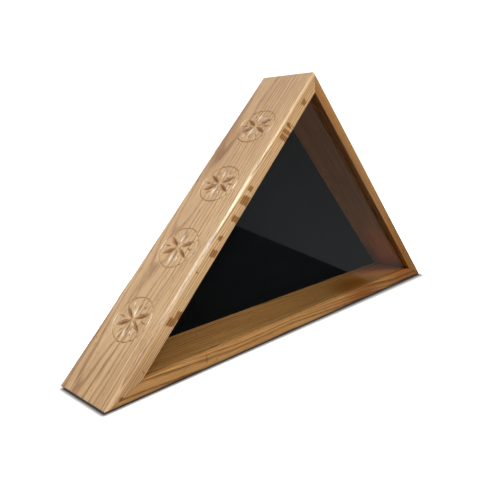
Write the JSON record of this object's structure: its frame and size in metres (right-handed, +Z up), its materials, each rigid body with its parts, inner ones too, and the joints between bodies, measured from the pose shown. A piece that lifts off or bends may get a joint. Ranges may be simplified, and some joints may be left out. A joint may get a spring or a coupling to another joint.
{
  "type": "folded flag display case",
  "caption": "Triangular oak display case for a folded flag, with a glazed front, carved rosettes on one side and a felt-faced back panel held by turn buttons.",
  "frame": {"origin": "middle of the base board's underside, half way along the base and half way from front to back", "axes": "+X along the base to the right as seen from the front, +Y from the glass to the back panel, +Z up"},
  "size_m": [0.6452, 0.0878, 0.324],
  "materials": {
    "oak_left": "oiled satin oak",
    "oak": "oiled satin oak",
    "spline_wood": "bare sawn oak",
    "glass": "clear polished",
    "fibreboard": "black painted board",
    "felt": "black wool felt",
    "button_brass": "satin brass",
    "screw_brass": "polished brass"
  },
  "bodies": {
    "case": {"base_board": "oak", "side_board_right": "oak", "side_board_left": "oak_left", "mitre_spline_left": "spline_wood", "mitre_spline_right": "spline_wood", "mitre_spline_apex": "spline_wood", "glass_pane": "glass", "button_screw_base_left": "screw_brass", "button_screw_base_right": "screw_brass", "button_screw_right_low": "screw_brass", "button_screw_right_high": "screw_brass", "button_screw_left_high": "screw_brass", "button_screw_left_low": "screw_brass"},
    "back": {"back_panel": "fibreboard", "felt_lining": "felt"},
    "button_base_left": {"turn_button_base_left": "button_brass"},
    "button_base_right": {"turn_button_base_right": "button_brass"},
    "button_right_low": {"turn_button_right_low": "button_brass"},
    "button_right_high": {"turn_button_right_high": "button_brass"},
    "button_left_high": {"turn_button_left_high": "button_brass"},
    "button_left_low": {"turn_button_left_low": "button_brass"}
  },
  "joints": [
    {"name": "back_lift", "type": "slide", "parent": "case", "child": "back", "axis": [0, 1, 0], "range_m": [0, 0.15]},
    {"name": "button_turn_base_left", "type": "hinge", "parent": "case", "child": "button_base_left", "pos_m": [-0.15, 0.0425, 0.005], "axis": [0, -1, 0], "range_deg": [-90, 0]},
    {"name": "button_turn_base_right", "type": "hinge", "parent": "case", "child": "button_base_right", "pos_m": [0.15, 0.0425, 0.005], "axis": [0, 1, 0], "range_deg": [-90, 0]},
    {"name": "button_turn_right_low", "type": "hinge", "parent": "case", "child": "button_right_low", "pos_m": [0.22854, 0.0425, 0.08839], "axis": [0, -1, 0], "range_deg": [-90, 0]},
    {"name": "button_turn_right_high", "type": "hinge", "parent": "case", "child": "button_right_high", "pos_m": [0.07425, 0.0425, 0.24268], "axis": [0, -1, 0], "range_deg": [-90, 0]},
    {"name": "button_turn_left_high", "type": "hinge", "parent": "case", "child": "button_left_high", "pos_m": [-0.07425, 0.0425, 0.24268], "axis": [0, 1, 0], "range_deg": [-90, 0]},
    {"name": "button_turn_left_low", "type": "hinge", "parent": "case", "child": "button_left_low", "pos_m": [-0.22854, 0.0425, 0.08839], "axis": [0, 1, 0], "range_deg": [-90, 0]}
  ]
}
